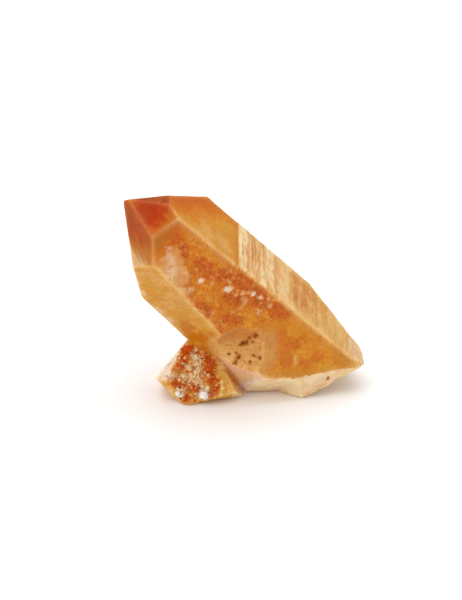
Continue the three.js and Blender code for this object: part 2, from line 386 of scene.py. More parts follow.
# Marks on the front prism face, as (along, across, radius).
FRONT_RUST = [
    (23.5, 1.6, 1.3), (21.6, 1.3, 1.2), (20.2, 0.4, 1), (16.7, 0.6, 1.5), (15.3, 1.2, 1.3),
    (14, 0.4, 1.3), (11.9, 1.6, 1.5), (10.2, 2, 1.5), (8.5, 3, 1.8), (7, 3.1, 1.8), (5.5, 3.1, 1.9),
    (4.3, 3.5, 1.8), (2.6, 2.9, 1.9), (3.5, 2.2, 1.5), (7.7, -0.5, 1.6), (6.5, -0.1, 1.5),
    (-0.8, 3.2, 1.8), (-2.5, 3.3, 1.4), (1.3, 3.1, 1.6), (11.2, -5.1, 1.2), (9.6, -5.4, 1.3),
    (5.3, -6.2, 1.1), (4.2, -6.3, 1), (5.3, -3.6, 1.2), (3.5, -3.2, 1.3), (-8.6, 0.6, 1.2)]
FRONT_DEEP = [
    (3.9, 2.9, 0.9), (5, 3.6, 0.8), (3, 2.2, 0.8), (7.4, -0.7, 0.55), (8.2, 2.6, 0.5),
    (3.9, -2, 0.42), (3.7, -6.5, 0.42)]
FRONT_MILK = [
    (14.4, -1.5, 0.65), (9.3, 0.4, 0.75), (8.8, 0.9, 0.5), (4.7, 2.7, 0.42), (3.2, 2.9, 0.36)]
FRONT_PEACH = [
    (6.4, 1.7, 0.55), (4.9, 2.6, 0.6), (3.1, 3.1, 0.55), (1.8, 3.7, 0.45), (0.6, 2.9, 0.5),
    (5.7, 2.2, 0.35), (2.4, 2.2, 0.35), (9.8, 1.6, 0.35), (7.2, 0.6, 0.35), (12.4, -0.6, 0.35)]
FRONT_CREAM = [
    (5.3, 0.8, 0.8), (8.8, -4.8, 0.7), (1.4, 0.8, 0.7), (5.5, -2.5, 0.5), (1.2, 2.5, 0.5),
    (22, 1.4, 0.35), (17.4, -2.3, 0.7), (4.8, -0.8, 0.35), (14.6, -3.8, 0.6), (5.8, -4.4, 0.4),
    (-10.9, -2.1, 0.4), (-10.5, -1.7, 0.4), (-10.1, -1.3, 0.4)]
FRONT_VEIL = [
    (22.6, -1.4, 2), (21.4, -2.4, 2.4), (20, -3.4, 2.8), (18.2, -4.2, 2.6), (16.1, -5.2, 1.9),
    (21.5, -5, 1.6), (19, -5.7, 1.5), (16.6, -6.3, 1.3), (14.6, -6.6, 1.1)]
FRONT_WHITE = [(23.1, -1, 0.8), (22.2, -1.7, 1), (21.2, -2.5, 1), (20.2, -3.3, 1), (19.3, -4, 0.9)]
FRONT_GOLD = [
    (21.3, 3.2, 0.9), (19.3, 3.3, 1.2), (17.2, 3.2, 1.3), (15.1, 2.9, 1.3), (13.3, 3, 1),
    (12.6, -2.2, 1.4), (10.4, -2.2, 1.2), (1.6, -1, 1.6), (-0.6, 1.4, 1.4)]
FRONT_TAN = [(-3.6, 1.2, 2.4), (-1.5, 0.2, 2), (-6.6, 3.6, 1.6)]
FRONT_ORANGE = [
    (-6.6, -0.4, 1.6), (-7.8, -1.4, 1.4), (-9.6, -3, 1.5), (-5.2, 0.6, 1.2), (-9, 2.6, 1.2),
    (-12.6, -1.2, 1.3), (-3, 4.2, 1.3), (24.6, 1.4, 1.6), (-13.6, 1.6, 1.2)]
# Marks on the broken wall below it and on the faces to either side.
BAND_DOTS = [(-18.2, 1.1, 0.3), (-18.4, 0.8, 0.25), (-10.1, -6.6, 0.35), (-10.6, -6.9, 0.3)]
RIGHT_AMBER = [(-5.2, -2.4, 2.6), (-7.2, 1.6, 2.8), (-4, 2.5, 1.6)]
RIGHT_PALE = [(19, -5, 2.4), (14.6, -4.4, 2.2), (2, 0.5, 3), (5, -2, 2.4)]
LEFT_AMBER = [(5.5, -2.9, 2.4), (3.6, -0.6, 2.6), (1.2, -1.6, 2.4), (4, 2.6, 1.6), (7.6, -1, 1.6)]
LEFT_WHITE = [(12.5, -3.9, 1.1), (9.9, -3.8, 0.9), (17.6, -3.4, 0.7)]
# Brown specks in the scoop, as (towards the tip, across, radius).
SCOOP_DOTS = [
    (0.2, 3.8, 0.55), (-0.1, 3.3, 0.35), (-1.6, 4.5, 0.3), (0.1, 0.6, 0.45), (-0.2, 1.1, 0.45),
    (0.2, 0, 0.35), (0.2, 1.7, 0.32), (0.3, 2.4, 0.35), (-0.7, 2.2, 0.3), (0, -3, 0.35),
    (-1.8, -2.3, 0.42), (-1.4, -2, 0.35), (-0.7, -1.9, 0.32), (-2.2, -3.8, 0.36), (-2, -3.1, 0.3),
    (-3, 0.4, 0.3), (-3.9, 1.2, 0.3), (-3.5, -1, 0.3)]
# Scales, per millimetre, of the wide, middling and narrow noise that the marks stray by.
CLOUD_SCALE = 0.22
GRAIN_SCALE = 1.1
FINE_SCALE = 2.6
LINE_DEPTH = 0.8  # the back faces' ledges and growth lines are this close to their planes
LINE_MARGIN = 0.7  # and this far from the next face's
RED_PATCH = (30, 1)  # middle of the deepest red on the tip's front face: along, across
BOWL_TOP = 4  # no chip is higher along the point
ARC_CENTRE = (3, 4)  # middle of the scoop's faint arcs: towards the tip, across
ARC_PITCH = 5  # radians per millimetre
WHITE_RIM = (0.42, -0.6, -3.6)  # left of this line the stub is white: slope, up, sideways


class Paint:
    """What each point of the skin carries: a colour, its marks and its finish."""

    def __init__(self, places, facing):
        count = len(places)
        self.places, self.facing = places, facing
        self.along = (places - POINT_CENTRE) @ POINT_AXES[0]
        self.tint = np.tile(HONEY, (count, 1))
        self.rust, self.milk, self.streak = np.zeros((3, count))
        self.clear = np.full(count, 0.4)
        self.rough = np.full(count, 0.24)
        self.ridge_shading = np.ones(count)  # how strongly its ridges get a painted highlight and its creases the darker rust-red
        self.broken = np.zeros(count)  # how ragged it is
        self.cloud = noise_at(places, CLOUD_SCALE, seed=1)
        self.grain = noise_at(places, GRAIN_SCALE, seed=2, octaves=2)
        self.fine = noise_at(places, FINE_SCALE, seed=4, octaves=2)
        self.flat = np.any([self.on(name) for name in POINT_FACES], axis=0)

    def on(self, name):
        return on_face(name, self.places, self.facing)

    def part(self, name):
        """The points of a face, with their place along and across it."""
        mask = self.on(name)
        along, across, _ = face_place(name, self.places[mask])
        return mask, along, across

    def noises(self, mask):
        return self.cloud[mask], self.grain[mask], self.fine[mask]

    def put(self, mask, tint, clear, rough, rust=0, milk=0):
        """Gives some of the points their colour, marks and finish."""
        self.tint[mask] = tint
        self.rust[mask] = rust
        self.milk[mask] = milk
        self.clear[mask] = clear
        self.rough[mask] = rough


def paint_back(paint):
    """Everything the front doesn't show: the same stained quartz, cloudier towards the base."""
    paint.tint = layered(
        paint.tint,
        (GOLD, 0.5 + 0.5 * np.clip(paint.cloud * 2, -1, 1)),
        (TIP_ORANGE, ramp(paint.along + paint.cloud * 4, 12, 24)),
        (PALE_TAN, 0.7 * fall(paint.along, -18, -4)))
    paint.rust = 0.2 + 0.4 * ramp(paint.cloud, 0.0, 0.4)
    paint.milk = 0.3 * ramp(-paint.cloud, 0.0, 0.4)
    # less painted highlight on the ridges towards the tip
    paint.ridge_shading = 1 - 0.5 * ramp(paint.along, 12, 18)


def paint_growth_lines(paint):
    """Ledges and growth lines inside a back face, which get little painted highlight."""
    heights = {name: face_place(name, paint.places)[2] for name in POINT_FACES}
    for name in BACK_FACES:
        nearest_other = np.max([h for key, h in heights.items() if key != name], axis=0)
        inner = (np.abs(heights[name]) < LINE_DEPTH) & (nearest_other < -LINE_MARGIN)
        paint.ridge_shading[inner] = 0.25


def paint_tip_front(paint):
    """Deep red around one patch, orange further out and amber at its lower edge."""
    mask, s, t = paint.part("tip front")
    away = np.hypot((s - RED_PATCH[0]) * 0.9, t - RED_PATCH[1]) + paint.grain[mask] * 0.8
    tint = lay(DEEP_RED, TIP_ORANGE, ramp(away, 1.6, 4.2))
    tint = lay(tint, AMBER, 0.8 * ramp(28.6 - s + paint.grain[mask], 0, 1.6))
    paint.put(mask, tint, rust=0.03, clear=0.3, rough=0.14)
    # little painted highlight on this face's ridges
    paint.ridge_shading[mask] = 0.25


def paint_tip_left(paint):
    """Tan to brown in drawn-out streaks, with a pale veil over its lower left."""
    mask, s, t = paint.part("tip lower left")
    drawn = drawn_noise(s - t * 0.3, t, long_scale=0.25, short_scale=1.3, seed=2.7)
    tint = lay(TIP_TAN, TIP_BROWN, ramp(s + drawn * 2, 25, 29))
    tint = lay(tint, VEIL, 0.85 * ramp(32.4 - s - t * 1.2 + drawn * 2.4, 0.5, 6))
    paint.put(mask, tint, rust=0.1, clear=0.3, rough=0.2)
    # little painted highlight on this face's ridges
    paint.ridge_shading[mask] = 0.15


def paint_tip_top(paint):
    """The narrow face along the top of the tip, the darkest one."""
    mask, s, _ = paint.part("tip upper right")
    tint = lay(TIP_ORANGE, DEEP_RED, ramp(s, 22, 29))
    paint.put(mask, tint * 0.5, rust=0.15, clear=0.1, rough=0.25)
    # little painted highlight on this face's ridges
    paint.ridge_shading[mask] = 0.1


def above_stain_line(paint):
    """The upper part of the broken front wall, which is as gold as the face above it."""
    wall = paint.on("break front wall")
    s, t, _ = face_place("break front wall", paint.places)
    wobble = paint.cloud + paint.grain * 0.35
    return wall & (s - STAIN_LINE[0] - STAIN_LINE[1] * t + wobble > 0)


def front_ground(paint, mask, s, t):
    """The front face's gold, with what lies under its veil and its specks."""
    cloud, grain, fine = paint.noises(mask)
    p, q, _ = scoop_place(paint.places[mask])
    chipped = fall(np.hypot(p + 1, q) + grain, SCOOP_RADIUS - 0.6, SCOOP_RADIUS + 1.2)
    return layered(
        GOLD,
        (TIP_ORANGE, 0.75 * ramp(s + grain, 22.5, 26)),
        (AMBER, 0.8 * ramp(cloud, 0.0, 0.4)),
        (LOW_GOLD, (0.65 + 0.35 * ramp(-cloud, -0.2, 0.4)) * fall(s, -7, 3)),
        (LOW_GOLD, 0.7 * blots(s, t, FRONT_GOLD, grain * 0.5 + fine * 0.4)),
        (HONEY, 0.5 * blots(s, t, FRONT_TAN, grain * 0.4)),
        (RUST, 0.55 * blots(s, t, FRONT_ORANGE, grain * 0.9 + cloud * 0.6)),
        (BREAK_TAN, 0.65 * chipped * ramp(2 - p, 0, 2)))


def paint_front(paint):
    """The big mottled face: gold with rust under it, a pale veil and milky specks."""
    mask = paint.on("prism front") | above_stain_line(paint)
    s, t, _ = face_place("prism front", paint.places[mask])
    cloud, grain, fine = paint.noises(mask)
    veil = blots(s, t, FRONT_VEIL, grain * 0.5 + cloud * 0.3) * fall(s + 0.33 * t, 22.3, 22.8)
    thin = 0.75 + 0.5 * np.clip(cloud + grain * 0.5 + fine * 0.4, -0.5, 0.5)
    rusty = blots(s, t, FRONT_RUST, grain * 0.3)
    deep = blots(s, t, FRONT_DEEP, grain * 0.3 + fine * 0.4)
    peach = blots(s, t, FRONT_PEACH, fine * 0.5)
    specks = blots(s, t, FRONT_MILK, fine * 0.45)
    tint = layered(
        front_ground(paint, mask, s, t),
        (VEIL, 0.72 * veil * thin),
        (MILK, 0.45 * blots(s, t, FRONT_WHITE, grain * 0.6 + fine * 0.5)),
        (RUST, 0.35 * rusty),
        (DEEP_RUST, 0.85 * deep),
        (PEACH, 0.8 * peach),
        (MILK, 0.9 * specks),
        (CREAM, 0.5 * blots(s, t, FRONT_CREAM, grain * 0.3 + fine * 0.4)))
    plain = (1 - 0.7 * veil) * (1 - specks) * (1 - 0.8 * peach) * (1 - 0.7 * deep)
    field = ramp(s + cloud, -4, 1) * fall(s, 20, 25) * (1 - 0.6 * ramp(-t, 0, 6) * ramp(s, 10, 14))
    rust = 0.24 + 0.2 * field + 0.5 * rusty
    paint.put(mask, tint, rust=rust * plain, milk=0.1 + 0.3 * field, clear=0.3, rough=0.16)
    # less painted highlight on the ridges near the tip
    paint.ridge_shading[mask] = 1 - 0.45 * ramp(s, 19, 22) * ramp(2.5 - t, 0, 2)


def on_ledge_wall(paint):
    """The little wall of the growth ledge, which faces the tip."""
    along, _, height = face_place(UPPER_RIGHT, paint.places)
    near = (np.abs(along - LEDGE) < LEDGE_WALL[0]) & (np.abs(height) < LEDGE_WALL[1])
    return near & (paint.facing @ POINT_AXES[0] > 0.5)


def upper_right_tip(t, smooth, tipward, grain):
    """Layers above the ledge: honey, redder to the tip, amber along the far edge."""
    return [
        (HONEY, smooth),
        (AMBER, 0.12 * smooth),
        (TIP_ORANGE, smooth * ramp(tipward, 14.5, 22)),
        (TIP_BROWN, 0.7 * smooth * ramp(tipward, 18.5, 24)),
        (AMBER, 0.55 * smooth * ramp(t + grain, 2.2, 5))]


def upper_right_base(s, t, grain, cloud):
    """Layers below the ledge: amber under the faint step, paler and pinker towards the base."""
    below = ramp(STEP_PLACE + 0.2 - s, 0, 0.3)
    return [
        (AMBER, 0.65 * below * blots(s, t, RIGHT_AMBER, grain * 0.7 + cloud * 0.6)),
        (PALE_TAN, 0.4 * blots(s, t, RIGHT_PALE, grain * 0.6 + cloud * 0.4)),
        (PALE_TAN, 0.6 * fall(s + cloud * 3, -19, -12)),
        (BAND_PINK, 0.6 * fall(s + grain, -20, -17))]


def paint_upper_right(paint):
    """Hazy tan, combed with light and dark streaks up to the ledge and smooth above it, with a
    painted highlight along the ledge's step and a painted shadow just past it.
    """
    mask = paint.on(UPPER_RIGHT) | on_ledge_wall(paint)
    s, t, _ = face_place(UPPER_RIGHT, paint.places[mask])
    cloud, grain, fine = paint.noises(mask)
    smooth = ramp(s, LEDGE - 0.25, LEDGE + 0.25)
    tipward = s + 1.2 * t + cloud * 2 + grain * 2.5 + fine * 1.5
    tint = layered(
        TAN,
        (COMBED, ramp(s + cloud * 2, -5, -1)),
        *upper_right_tip(t, smooth, tipward, grain),
        *upper_right_base(s, t, grain, cloud),
        # painted shadow: amber just tipward of the ledge's step
        (AMBER, 0.5 * smooth * fall(s, LEDGE + 0.4, LEDGE + 1.2)),
        # painted highlight: a cream line along the lit step of the ledge
        (CREAM, 0.9 * (1 - smooth) * ramp(s, LEDGE - 0.9, LEDGE - 0.5)))
    deep = smooth * ramp(tipward, 12, 20)
    paint.put(mask, tint, rust=0.1 + 0.3 * deep, milk=0.05, clear=0.25 - 0.2 * deep, rough=0.28)
    streak = ramp(s + cloud * 2, -1, 3.5) * fall(s, LEDGE - 0.3, LEDGE)
    streak += 0.3 * (1 - smooth) * (1 - streak)
    paint.streak[mask] = streak
    # less painted highlight on the ridges along the streaks, near the tip and at the ledge, which
    # has its own
    ridge_shading = (0.7 - 0.3 * streak) * (1 - 0.7 * ramp(tipward, 16, 22))
    paint.ridge_shading[mask] = ridge_shading * ramp(np.abs(s - LEDGE), 0.5, 1.2)


def paint_lower_left(paint):
    """Tan, amber above the side crystal, pale like broken stone below the scoop, and lighter still
    below a line and at its base end, as painted light against this downward face's shade.
    """
    mask, s, t = paint.part("prism lower left")
    cloud, grain, _ = paint.noises(mask)
    p, q, _ = scoop_place(paint.places[mask])
    chipped = fall(np.hypot(p, q) + grain, SCOOP_RADIUS - 0.8, SCOOP_RADIUS + 1)
    tint = layered(
        HONEY,
        (TAN, ramp(grain + cloud, -0.3, 0.6)),
        (AMBER, 0.85 * blots(s, t, LEFT_AMBER, grain * 0.6 + cloud * 0.5)),
        (MILK, 0.5 * blots(s, t, LEFT_WHITE, grain * 0.7)),
        (PALE_TAN, 0.7 * chipped),
        (BREAK_TAN, 0.5 * chipped),
        # painted light: pale broken stone below a line and near white at the base end, painted
        # lighter than the stone against this face's shade
        (PINK_TAN, ramp(1.15 * t - s + grain * 0.5, -0.3, 0.5) * fall(s, 3, 4)),
        (WHITE_STONE, 0.9 * ramp(-7.6 - s + grain * 0.6, 0, 1.2)))
    paint.put(mask, tint, rust=0.12, milk=0.05, clear=0.28, rough=0.24)


def paint_bowls(paint):
    """Chips and grooves: whatever is on no flat face, paler and duller towards the base."""
    bowl = ~paint.flat & (paint.along < BOWL_TOP)
    mixed = paint.cloud[bowl] + paint.grain[bowl] * 0.4
    tint = lay(TAN, BAND_PINK, ramp(mixed, -0.7, 0.0) * fall(paint.along[bowl], -12, -2))
    paint.put(bowl, tint, milk=0.1, clear=0.15, rough=0.4)


def paint_breaks(paint):
    """Broken faces of the base: paler, duller, nearly opaque and, but for the side, ragged."""
    for name in BROKEN_FACES:
        mask = paint.on(name) & ~above_stain_line(paint)
        s, t, _ = face_place(name, paint.places[mask])
        mixed = paint.cloud[mask] + paint.grain[mask] * 0.4
        tint = lay(TAN, BAND_PINK, 0.4 + 0.6 * ramp(mixed, -0.8, 0.0))
        if name == "break front wall":
            tint = lay(tint, BURNT, blots(s, t, BAND_DOTS, paint.grain[mask] * 0.4))
        paint.put(mask, tint, clear=0.12, rough=0.4)
        paint.broken[mask] = 0 if name == "break right side" else 1


def paint_scoop(paint):
    """The scoop: dull tan, browner under its upper rim as painted shade and paler on its lower side
    as painted light, with brown specks and faint arcs.
    """
    p, q, up = scoop_place(paint.places)
    inside = (np.hypot(p, q) < SCOOP_RADIUS + 1) & (np.abs(up - SCOOP_BED[0]) < SCOOP_BED[1])
    inside &= ~paint.on("prism front") & ~paint.on("prism lower left")
    p, q, grain = p[inside], q[inside], paint.grain[inside]
    ripples = np.hypot(p - ARC_CENTRE[0], q - ARC_CENTRE[1]) * ARC_PITCH
    halos = [(a, b, 1.6 * radius) for a, b, radius in SCOOP_DOTS]
    tint = layered(
        BREAK_TAN,
        # painted light: paler on the scoop's lower side
        (PALE_TAN, 0.5 * ramp(-q - p * 0.3 + grain, 0.5, 3.5)),
        # painted shade: browner under the scoop's upper rim
        (BREAK_BROWN, 0.7 * ramp(p * 0.75 + q * 0.5 + grain, 0.0, 2.4)),
        (PALE_TAN, 0.2 * (0.5 + 0.5 * np.sin(ripples + grain * 2))),
        (BREAK_BROWN, 0.6 * blots(p, q, halos, grain * 0.5)),
        (BURNT, blots(p, q, SCOOP_DOTS, grain * 0.4 + paint.fine[inside] * 0.4)))
    paint.put(inside, tint, rust=0.3, milk=0.2, clear=0.12, rough=0.36)
    # little painted highlight on the scoop's ridges
    paint.ridge_shading[inside] = 0.15


def paint_stub(paint):
    """The side crystal: rusty honey under its crust, with pale smooth rims."""
    u, v, out = stub_place(paint.places)
    stub = (np.hypot(u, v) < STUB_REACH) & (out > STUB_BACK) & (paint.places[:, 2] < STUB_TOP)
    stub &= ~paint.flat
    u, v, out, grain = u[stub], v[stub], out[stub], paint.grain[stub]
    crusted = np.array([inside_outline(a, b, CRUST_OUTLINE) for a, b in zip(u, v)])
    slope, up, sideways = WHITE_RIM
    rim = slope * (v - up) - u + sideways + grain * 0.3
    white = ramp(rim, -0.4, 0.4) * ramp(v + grain * 0.6, -1.6, -0.4) * fall(v, 3.6, 4.8)
    white = white * ramp(out + grain * 1.5, 1.2, 3.2)
    tint = layered(
        paint.tint[stub],
        (HONEY, ramp(out + grain * 1.5, -1, 2.8)),
        (WHITE_STONE, white),
        (TAN, 0.6 * ramp(u + grain * 0.5, 4.2, 5.6)),
        (crust_tint(u, v, grain), crusted * ramp(out, 1.5, 3)))
    paint.put(stub, tint, rust=0.25, milk=0.1, clear=0.12, rough=0.3)
    paint.broken[stub] = fall(v, -4.5, -2)


def paint_edges(paint, edge, halo, crease):
    """Painted highlights on the ridges and fainter ones next to them, and a darker rust-red in the
    creases as dirt and painted shade.
    """
    p, q, _ = scoop_place(paint.places)
    # less painted highlight at and around the scoop's rim
    ridge_shading = paint.ridge_shading * (0.2 + 0.8 * ramp(np.hypot(p, q), SCOOP_RADIUS, SCOOP_RADIUS + 1.5))
    crease_dirt_and_shade = crease * (1 - paint.streak) * paint.ridge_shading * (1 - paint.broken)
    # cream on the edges and pale tan next to them are painted highlights; the rust-red in creases
    # is dirt and painted shade
    paint.tint = layered(
        paint.tint,
        (PALE_TAN, 0.2 * halo * ridge_shading),
        (CREAM, 0.45 * edge * ridge_shading),
        (RUST, 0.6 * crease_dirt_and_shade))
    paint.rust = paint.rust * (1 - 0.8 * edge)
    paint.clear = paint.clear * (1 - 0.6 * edge)


PARTS = (  # in this order, since a later part is laid over an earlier one
    paint_back, paint_growth_lines, paint_tip_front, paint_tip_left, paint_tip_top, paint_front,
    paint_upper_right, paint_lower_left, paint_bowls, paint_breaks, paint_stub, paint_scoop)


def painted(places, facing, edge, halo, crease):
    """Every part's colour and marks, and what the edges and creases do to them."""
    paint = Paint(places, facing)
    for paint_part in PARTS:
        paint_part(paint)
    paint_edges(paint, edge, halo, crease)
    return paint


# --- the skin's relief
HILLOCK = (0.03, 0.05)  # height on a smooth face, and how much more on a dull one
HACKLE = (0.006, 0.05)  # the same for the fine relief
COMB_HEIGHT = 0.09
RAGGED = 0.3  # how far a broken edge wanders


def relief(paint, normals, halo):
    """Hillocks on the grown faces, hackle on the broken ones and ragged broken edges, in mm."""
    low = noise_at(paint.places, 0.28, seed=5, octaves=2)
    fine = noise_at(paint.places, 1.5, seed=6, octaves=2)
    dull = ramp(paint.rough, 0.26, 0.42)
    height = low * (HILLOCK[0] + HILLOCK[1] * dull) + fine * (HACKLE[0] + HACKLE[1] * dull)
    height += paint.broken * halo * noise_at(paint.places, 0.8, seed=9) * RAGGED
    _, across, _ = face_place(UPPER_RIGHT, paint.places)
    bent = paint.along + low * 0.8
    comb = drawn_noise(across, bent, long_scale=0.22, short_scale=1.6, seed=7.1)
    height += paint.streak * comb * COMB_HEIGHT
    shaped = paint.places + normals * height[:, None]
    shaped[:, 2] = np.maximum(shaped[:, 2], 0)
    return shaped


def store(mesh, name, *columns):
    """Keeps up to three numbers per point on a mesh, for its material."""
    values = np.zeros((len(mesh.vertices), 3), dtype=np.float32)
    for k, column in enumerate(columns):
        values[:, k] = column
    layer = mesh.attributes.new(name, "FLOAT_VECTOR", "POINT")
    layer.data.foreach_set("vector", values.ravel())


def eased_streaks(places, facing, edges):
    """Wears down the growth lines of the upper right face a little."""
    mask = on_face(UPPER_RIGHT, places, facing)
    along, _, _ = face_place(UPPER_RIGHT, places)
    lined = mask * fall(along, LEDGE - 1.2, LEDGE - 0.6)
    return eased(places, edges, lined, STREAK_EASE)


def eased_ledge(places, facing, edges):
    """Wears the growth ledge of the same face to an even line."""
    along, _, height = face_place(UPPER_RIGHT, places)
    near = (np.abs(height) < 1.2) & (facing @ face_normal(UPPER_RIGHT) > 0.1)
    near = near * fall(np.abs(along - LEDGE), 0.3, 0.8)
    return eased(places, edges, near, LEDGE_EASE)


def eased_scoop(places, edges):
    """Wears the scoop's rim down, so that it has no sharp lip."""
    p, q, up = scoop_place(places)
    rim = fall(np.abs(np.hypot(p, q) - SCOOP_RADIUS), 0.8, 2.2) * (np.abs(up) < 2.5)
    return eased(places, edges, rim, SCOOP_EASE)


def worn_shape(tree, places, edges):
    """The fine mesh on the solid with its edges worn, and the solid's normals under it."""
    places, facing = pulled_to(tree, places)
    places = worn_edges(places, facing, edges)
    places = eased_streaks(places, facing, edges)
    places = eased_ledge(places, facing, edges)
    return eased_scoop(places, edges), facing


def ridges(places, normals, edges):
    """How much each point is part of an edge, near an edge and part of a crease."""
    rise = np.einsum("ij,ij->i", places - spread(places, edges, EDGE_ROUNDS), normals)
    edge = np.clip(rise / EDGE_SCALE, 0, 1)
    crease = np.clip(-rise / EDGE_SCALE, 0, 1)
    halo = np.clip(spread(edge, edges, HALO_ROUNDS) * HALO_GAIN, 0, 1)
    return edge, halo, crease


def skin():
    """The whole crystal's surface, finer than the solid it stands for, and that solid."""
    solid_places, solid_faces = cad_surface()
    tree = BVHTree.FromPolygons([Vector(p) for p in solid_places], solid_faces)
    places, faces, edges = remeshed(solid_places, solid_faces)
    places, facing = worn_shape(tree, places, edges)
    normals = point_normals(places, faces)
    edge, halo, crease = ridges(places, normals, edges)
    paint = painted(places, facing, edge, halo, crease)
    shaped = relief(paint, normals, halo)
    mesh = bpy.data.meshes.new("quartz_skin")
    mesh.from_pydata((shaped * MM).tolist(), [], faces)
    mesh.polygons.foreach_set("use_smooth", [True] * len(faces))
    store(mesh, "tint", *paint.tint.T)
    store(mesh, "marks", paint.rust, paint.milk, paint.streak)
    store(mesh, "finish", paint.clear, paint.rough)
    return add_object("quartz_skin", mesh), tree


# --- the druse
GRAIN_COUNT = 2300
GRAIN_SEED = 11
GRAIN_SPREAD = (-6, 7, -6, 6)  # least and most sideways, then upward, from the stub's middle
GRAIN_RADIUS = (0.1, 0.29)
GRAIN_TALL = (0.6, 1.3)  # height over radius
GRAIN_TILT = 0.35
GRAIN_CORNERS = 13  # six at the foot, six at the shoulder and the tip
GRAIN_SUNK = 0.8  # depth of the foot over radius
GRAIN_SHOULDER = (0.45, 0.97)  # height over the whole height, width over the foot's
ANY_WAY = (0.13, 0.21, 0.97)  # a direction that no grain grows in
# Off-colour grains, by the top of their share of a random number from 0 to 1.
ODD_GRAINS = [(0.07, CRUST_CREAM), (0.1, CRUST_DARK), (0.18, CRUST_RUST)]
# As (sideways, up, radius) on the stub's front.
BIG_GRAINS = [
    (2.2, -3.7, 0.75), (1.2, 3.0, 0.45), (0.6, 0.3, 0.45), (-2.4, -3.6, 0.5), (2.9, -2.4, 0.4)]
# A grain is looked for from this far out, and grows where the stub's front is this far out.
STUB_OUTSIDE = 12
STUB_FRONT = (2.6, 5.8)


def grain_points(base, axis, radius, tall, turn):
    """A six-sided point: a short prism and its tip."""
    side = np.cross(axis, ANY_WAY)
    side = side / np.linalg.norm(side)
    other = np.cross(axis, side)
    ring = []
    for k in range(6):
        a = turn + k * math.pi / 3
        ring.append((side * math.cos(a) + other * math.sin(a)) * radius)
    height, width = GRAIN_SHOULDER
    foot = [base - axis * radius * GRAIN_SUNK + r for r in ring]
    shoulder = [base + axis * tall * height + r * width for r in ring]
    return foot + shoulder + [base + axis * tall]


def grain_faces(start):
    """The faces of a six-sided point whose corners are counted from start."""
    foot = range(start, start + 6)
    pairs = list(zip(foot, [*foot[1:], start]))
    sides = [(a, b, b + 6, a + 6) for a, b in pairs]
    tips = [(a + 6, b + 6, start + 12) for a, b in pairs]
    return sides + tips + [tuple(reversed(foot))]


def grain_tint(u, v, chance):
    """The crust's colour at a place, or now and then a cream, dark or rusty one."""
    tint = crust_tint(np.array([u]), np.array([v]), chance.uniform(-0.4, 0.4))[0]
    pick = chance.random()
    tint = next((odd for top, odd in ODD_GRAINS if pick < top), tint)
    return tint * chance.uniform(0.85, 1.12)


def grain_places(chance):
    """Where the grains are wanted, as (sideways, up, radius): the big ones, then seeded ones."""
    left, right, low, high = GRAIN_SPREAD
    thin, thick = GRAIN_RADIUS
    wanted = list(BIG_GRAINS)
    while len(wanted) < GRAIN_COUNT:
        u, v = chance.uniform(left, right), chance.uniform(low, high)
        radius = thin + (thick - thin) * chance.random() ** 2
        if inside_outline(u, v, CRUST_OUTLINE):
            wanted.append((u, v, radius))
    return wanted


def stub_front(tree, u, v):
    """The place on the stub's front at a sideways and upward place, or None."""
    axis, zero, ninety = STUB_AXES
    start = STUB_CENTRE + axis * STUB_OUTSIDE + zero * u + ninety * v
    hit = tree.ray_cast(Vector(start), Vector(-axis))[0]
    if hit is None:
        return None
    base = np.array(hit)
    out = (base - STUB_CENTRE) @ axis
    return base if STUB_FRONT[0] < out < STUB_FRONT[1] else None


def druse(tree):
    """Small points scattered over the stub's front, all in one mesh."""
    chance = random.Random(GRAIN_SEED)
    points, faces, tints = [], [], []
    for u, v, radius in grain_places(chance):
        base = stub_front(tree, u, v)
        if base is None:
            continue
        grown = STUB_AXES[0] + np.array([chance.gauss(0, 1) for _ in range(3)]) * GRAIN_TILT
        grown = grown / np.linalg.norm(grown)
        tall = radius * chance.uniform(*GRAIN_TALL)
        turn = chance.uniform(0, math.pi / 3)
        faces += grain_faces(len(points))
        points += grain_points(base, grown, radius, tall, turn)
        tints += [grain_tint(u, v, chance)] * GRAIN_CORNERS
    mesh = bpy.data.meshes.new("druse_crust")
    mesh.from_pydata((np.array(points) * MM).tolist(), [], faces)
    store(mesh, "tint", *np.array(tints).T)
    return add_object("druse_crust", mesh)


# --- materials
IOR = 1.544
SHINE = 0.03  # specular level
STAIN_COLOUR = (0.98, 0.81, 0.0, 1)  # linear
STAIN_DENSITY = 410  # per metre
SKIN_SCATTER = (0.25, (1.0, 0.4, 0.1), 0.0006)  # weight, reach per colour, and its scale in metres
DRUSE_SCATTER = (0.3, (1.0, 0.5, 0.2), 0.0005)
# Dark growth streaks: colour, the comb's values between which they set in, and strength.
DARK_STREAKS = [(STREAK_BROWN, (0.49, 0.43), 0.62), (BREAK_BROWN, (0.42, 0.36), 0.5)]


